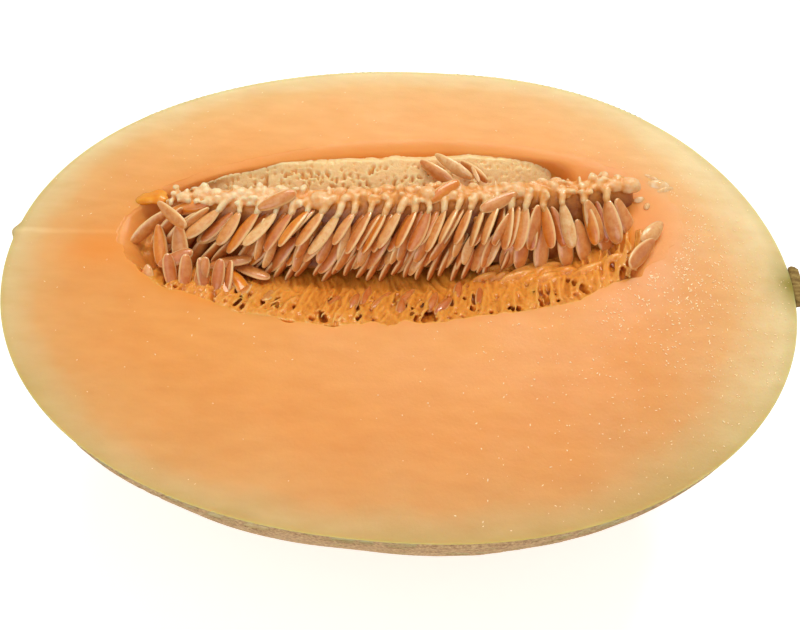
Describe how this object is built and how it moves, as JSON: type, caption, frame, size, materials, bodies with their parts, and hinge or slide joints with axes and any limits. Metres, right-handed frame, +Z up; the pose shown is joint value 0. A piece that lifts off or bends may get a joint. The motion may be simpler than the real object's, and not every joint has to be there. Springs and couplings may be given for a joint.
{
  "type": "melon half",
  "caption": "Half of an oblong orange-fleshed melon, cut lengthwise and lying on its rind, with a fringe of seeds in its cavity.",
  "frame": {"origin": "on the surface the fruit rests on, under the middle of its box", "axes": "+Z up, out of the cut face; +X from the blossom end to the stem end; -Y towards the side with the thicker flesh"},
  "size_m": [0.2046, 0.144, 0.0781],
  "materials": {
    "flesh": "satin",
    "cork": "matte",
    "pulp": "gloss",
    "placenta": "gloss",
    "seed_coat": "satin"
  },
  "bodies": {
    "root": {"flesh_and_rind": "flesh", "stem_stub": "cork", "pulp_bed": "pulp", "seed_ridge": "placenta", "back_lobe": "placenta", "upper_seed_01": "seed_coat", "upper_seed_02": "seed_coat", "upper_seed_03": "seed_coat", "upper_seed_04": "seed_coat", "upper_seed_05": "seed_coat", "upper_seed_06": "seed_coat", "upper_seed_07": "seed_coat", "upper_seed_08": "seed_coat", "upper_seed_09": "seed_coat", "upper_seed_10": "seed_coat", "upper_seed_11": "seed_coat", "upper_seed_12": "seed_coat", "upper_seed_13": "seed_coat", "upper_seed_14": "seed_coat", "upper_seed_15": "seed_coat", "upper_seed_16": "seed_coat", "upper_seed_17": "seed_coat", "upper_seed_18": "seed_coat", "upper_seed_19": "seed_coat", "upper_seed_20": "seed_coat", "upper_seed_21": "seed_coat", "upper_seed_22": "seed_coat", "upper_seed_23": "seed_coat", "upper_seed_24": "seed_coat", "upper_seed_25": "seed_coat", "lower_seed_01": "seed_coat", "lower_seed_02": "seed_coat", "lower_seed_03": "seed_coat", "lower_seed_04": "seed_coat", "lower_seed_05": "seed_coat", "lower_seed_06": "seed_coat", "lower_seed_07": "seed_coat", "lower_seed_08": "seed_coat", "lower_seed_09": "seed_coat", "lower_seed_10": "seed_coat", "lower_seed_11": "seed_coat", "lower_seed_12": "seed_coat", "lower_seed_13": "seed_coat", "lower_seed_14": "seed_coat", "lower_seed_15": "seed_coat", "lower_seed_16": "seed_coat", "lower_seed_17": "seed_coat", "lower_seed_18": "seed_coat", "pocket_seed_1": "seed_coat", "pocket_seed_2": "seed_coat", "pocket_seed_3": "seed_coat", "blossom_side_seed_1": "seed_coat", "blossom_side_seed_2": "seed_coat", "blossom_side_seed_3": "seed_coat", "back_seed_1": "seed_coat", "back_seed_2": "seed_coat", "back_seed_3": "seed_coat", "stem_side_seed_1": "seed_coat", "stem_side_seed_2": "seed_coat"}
  },
  "joints": []
}
